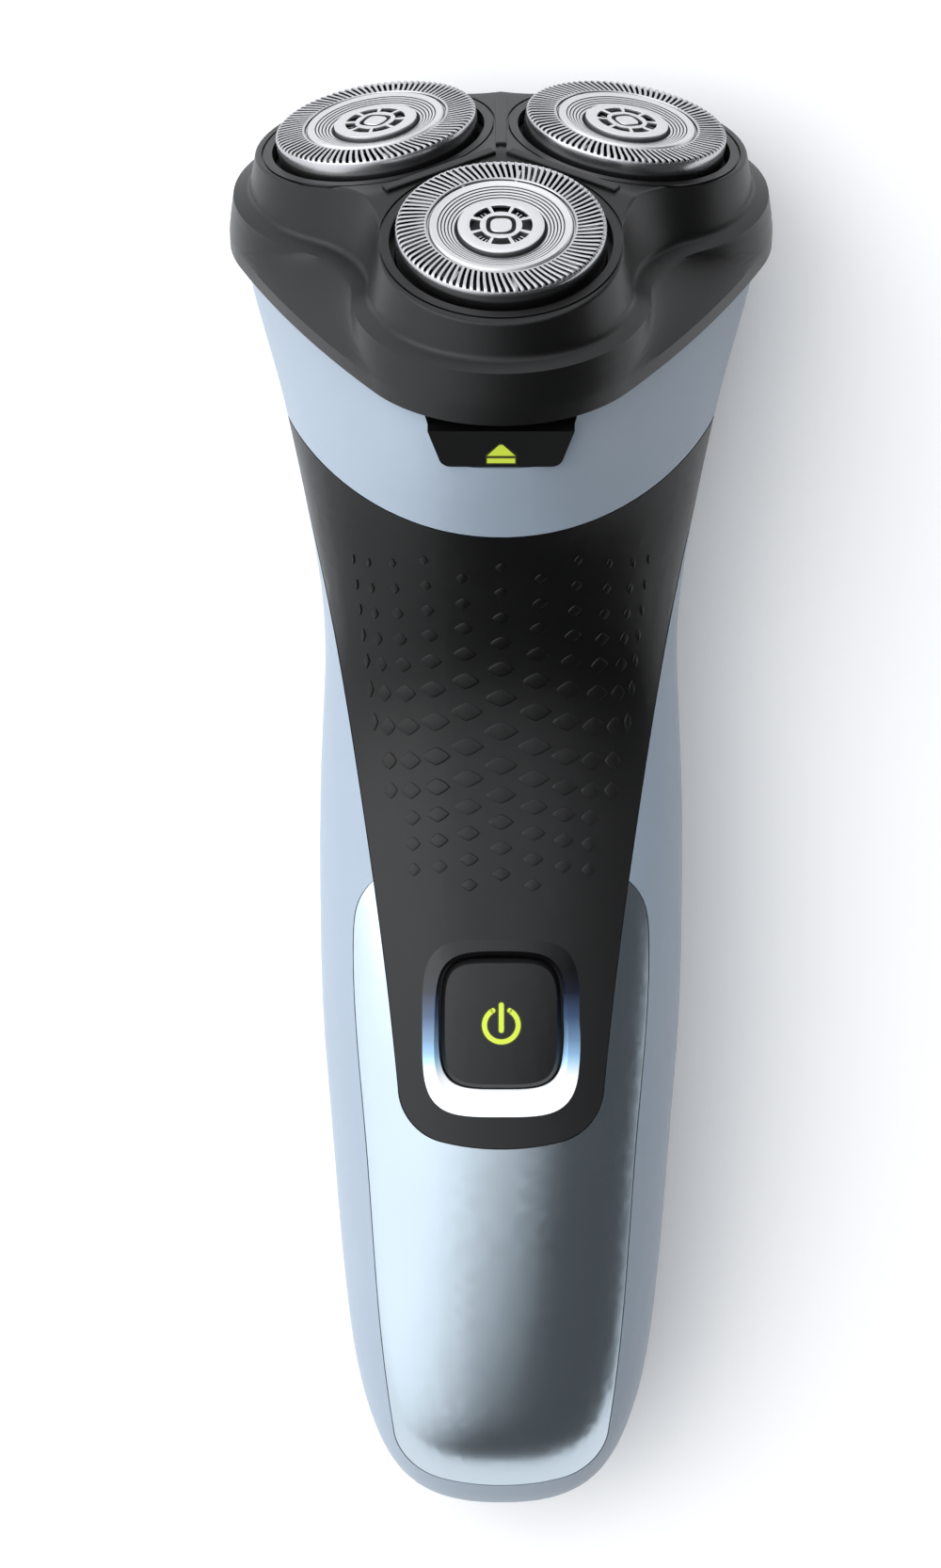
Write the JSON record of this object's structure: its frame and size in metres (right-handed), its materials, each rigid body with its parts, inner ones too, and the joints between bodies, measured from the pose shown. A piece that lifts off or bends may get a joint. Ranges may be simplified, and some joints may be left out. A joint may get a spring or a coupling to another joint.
{
  "type": "rotary electric shaver",
  "caption": "Handheld rotary shaver with a tilted lobed head of slotted rings that swings open, a power button, a soft grip panel and a pop-up trimmer.",
  "frame": {"origin": "middle of the footprint, on the surface that the shaver lies on with its back down", "axes": "+Y along the body from the charging end to the head, +Z out of the front, +X to the right seen from the front"},
  "size_m": [0.0614, 0.165, 0.0532],
  "materials": {
    "housing_blue": "satin light blue moulding",
    "panel_silver": "metallic silver-blue lacquer",
    "grip_black": "soft-touch black",
    "bezel_chrome": "polished",
    "button_black": "satin black",
    "head_black": "satin to gloss black",
    "steel": "ground and polished",
    "inner_black": "fine matt moulding",
    "lock_grey": "matt",
    "gear_white": "moulded acetal",
    "seal_rubber": "matt",
    "motor_steel": "plated can",
    "copper": "enamelled wire",
    "contact_nickel": "plated",
    "board_green": "solder mask",
    "component_black": "moulded",
    "cell_green": "shrink sleeve"
  },
  "bodies": {
    "body": {"front_housing": "housing_blue", "rear_housing": "housing_blue", "grip_panel": "grip_black", "lower_panel": "panel_silver", "button_bezel": "bezel_chrome", "inner_frame": "inner_black", "battery_cell": "cell_green", "battery_contacts": "contact_nickel", "circuit_board": "board_green", "board_components": "component_black", "power_switch": "component_black", "charging_socket": "inner_black", "charging_pins": "contact_nickel", "trimmer_pin": "steel", "hinge_pin": "steel", "drive_deck": "inner_black", "deck_gasket": "seal_rubber", "spindle_seals": "seal_rubber", "deck_screws": "steel", "gear_case": "inner_black", "centre_pin": "steel", "drive_motor": "motor_steel"},
    "power_button": {"power_button": "button_black"},
    "release_button": {"release_button": "button_black"},
    "head": {"head_cover": "head_black", "retaining_frame": "inner_black"},
    "retaining_lock": {"retaining_lock": "lock_grey"},
    "rotor": {"motor_shaft": "steel", "motor_armature": "copper", "motor_pinion": "gear_white"},
    "centre_gear": {"centre_gear": "gear_white"},
    "trimmer_slide": {"trimmer_slide": "inner_black"},
    "trimmer_arm": {"trimmer_arm": "inner_black", "trimmer_comb": "steel"},
    "trimmer_blade": {"trimmer_blade": "steel"},
    "spindle_front": {"drive_spindle_front": "gear_white", "spindle_gear_front": "gear_white"},
    "carrier_front": {"ring_carrier_front": "inner_black"},
    "guard_front": {"ring_guard_front": "steel"},
    "cutter_front": {"cutter_front": "steel", "cutter_hub_front": "lock_grey"},
    "spindle_left": {"drive_spindle_left": "gear_white", "spindle_gear_left": "gear_white"},
    "carrier_left": {"ring_carrier_left": "inner_black"},
    "guard_left": {"ring_guard_left": "steel"},
    "cutter_left": {"cutter_left": "steel", "cutter_hub_left": "lock_grey"},
    "spindle_right": {"drive_spindle_right": "gear_white", "spindle_gear_right": "gear_white"},
    "carrier_right": {"ring_carrier_right": "inner_black"},
    "guard_right": {"ring_guard_right": "steel"},
    "cutter_right": {"cutter_right": "steel", "cutter_hub_right": "lock_grey"}
  },
  "joints": [
    {"name": "head_open", "type": "hinge", "parent": "body", "child": "head", "pos_m": [0, 0.0704, 0.00214], "axis": [-1, 0, 0], "range_deg": [0, 100]},
    {"name": "power_press", "type": "slide", "parent": "body", "child": "power_button", "axis": [0, 0, -1], "range_m": [0, 0.0004], "stiffness_N_per_m": 1500, "springref_m": -0.0002},
    {"name": "release_press", "type": "slide", "parent": "body", "child": "release_button", "axis": [0, 0.592, -0.8059], "range_m": [0, 0.0009], "stiffness_N_per_m": 900, "springref_m": -0.0003},
    {"name": "lock_turn", "type": "hinge", "parent": "head", "child": "retaining_lock", "pos_m": [0, 0.07354, 0.0297], "axis": [0, 0.866, 0.5], "range_deg": [0, 60]},
    {"name": "motor_spin", "type": "hinge", "parent": "body", "child": "rotor", "pos_m": [0, 0.04684, 0.02295], "axis": [0, 0.866, 0.5], "continuous": true},
    {"name": "centre_spin", "type": "hinge", "parent": "body", "child": "centre_gear", "pos_m": [0, 0.05518, 0.0191], "axis": [0, 0.866, 0.5], "continuous": true},
    {"name": "trimmer_open", "type": "hinge", "parent": "body", "child": "trimmer_arm", "pos_m": [0, 0.01654, 0.0066], "axis": [-1, 0, 0], "range_deg": [0, 75]},
    {"name": "trimmer_slide_move", "type": "slide", "parent": "body", "child": "trimmer_slide", "axis": [0, 1, 0], "range_m": [0, 0.0025]},
    {"name": "trimmer_blade_run", "type": "slide", "parent": "trimmer_arm", "child": "trimmer_blade", "axis": [1, 0, 0], "range_m": [-0.0005, 0.0005]},
    {"name": "spindle_spin_front", "type": "hinge", "parent": "body", "child": "spindle_front", "pos_m": [0, 0.04793, 0.03166], "axis": [0, 0.866, 0.5], "continuous": true},
    {"name": "ring_tilt_front", "type": "hinge", "parent": "head", "child": "carrier_front", "pos_m": [0, 0.06119, 0.04023], "axis": [1, 0, 0], "range_deg": [-3, 3], "stiffness_Nm_per_rad": 0.05},
    {"name": "ring_sink_front", "type": "slide", "parent": "carrier_front", "child": "guard_front", "axis": [0, -0.7716, -0.6361], "range_m": [0, 0.0008], "stiffness_N_per_m": 600, "springref_m": -0.0008},
    {"name": "cutter_spin_front", "type": "hinge", "parent": "guard_front", "child": "cutter_front", "pos_m": [0, 0.06544, 0.04373], "axis": [0, 0.7716, 0.6361], "continuous": true},
    {"name": "spindle_spin_left", "type": "hinge", "parent": "body", "child": "spindle_left", "pos_m": [-0.01256, 0.0588, 0.01282], "axis": [0, 0.866, 0.5], "continuous": true},
    {"name": "ring_tilt_left", "type": "hinge", "parent": "head", "child": "carrier_left", "pos_m": [-0.01324, 0.07266, 0.02037], "axis": [-0.5, -0.433, 0.75], "range_deg": [-3, 3], "stiffness_Nm_per_rad": 0.05},
    {"name": "ring_sink_left", "type": "slide", "parent": "carrier_left", "child": "guard_left", "axis": [0.1429, -0.8954, -0.4217], "range_m": [0, 0.0008], "stiffness_N_per_m": 600, "springref_m": -0.0008},
    {"name": "cutter_spin_left", "type": "hinge", "parent": "guard_left", "child": "cutter_left", "pos_m": [-0.01403, 0.07759, 0.02269], "axis": [-0.1429, 0.8954, 0.4217], "continuous": true},
    {"name": "spindle_spin_right", "type": "hinge", "parent": "body", "child": "spindle_right", "pos_m": [0.01256, 0.0588, 0.01282], "axis": [0, 0.866, 0.5], "continuous": true},
    {"name": "ring_tilt_right", "type": "hinge", "parent": "head", "child": "carrier_right", "pos_m": [0.01324, 0.07266, 0.02037], "axis": [-0.5, 0.433, -0.75], "range_deg": [-3, 3], "stiffness_Nm_per_rad": 0.05},
    {"name": "ring_sink_right", "type": "slide", "parent": "carrier_right", "child": "guard_right", "axis": [-0.1429, -0.8954, -0.4217], "range_m": [0, 0.0008], "stiffness_N_per_m": 600, "springref_m": -0.0008},
    {"name": "cutter_spin_right", "type": "hinge", "parent": "guard_right", "child": "cutter_right", "pos_m": [0.01403, 0.07759, 0.02269], "axis": [0.1429, 0.8954, 0.4217], "continuous": true}
  ],
  "couplings": [
    {"joint": "centre_spin", "follows": "motor_spin", "ratio": -0.66667},
    {"joint": "spindle_spin_front", "follows": "motor_spin", "ratio": 0.71429},
    {"joint": "cutter_spin_front", "follows": "motor_spin", "ratio": 0.71429},
    {"joint": "spindle_spin_left", "follows": "motor_spin", "ratio": 0.71429},
    {"joint": "cutter_spin_left", "follows": "motor_spin", "ratio": 0.71429},
    {"joint": "spindle_spin_right", "follows": "motor_spin", "ratio": 0.71429},
    {"joint": "cutter_spin_right", "follows": "motor_spin", "ratio": 0.71429}
  ]
}
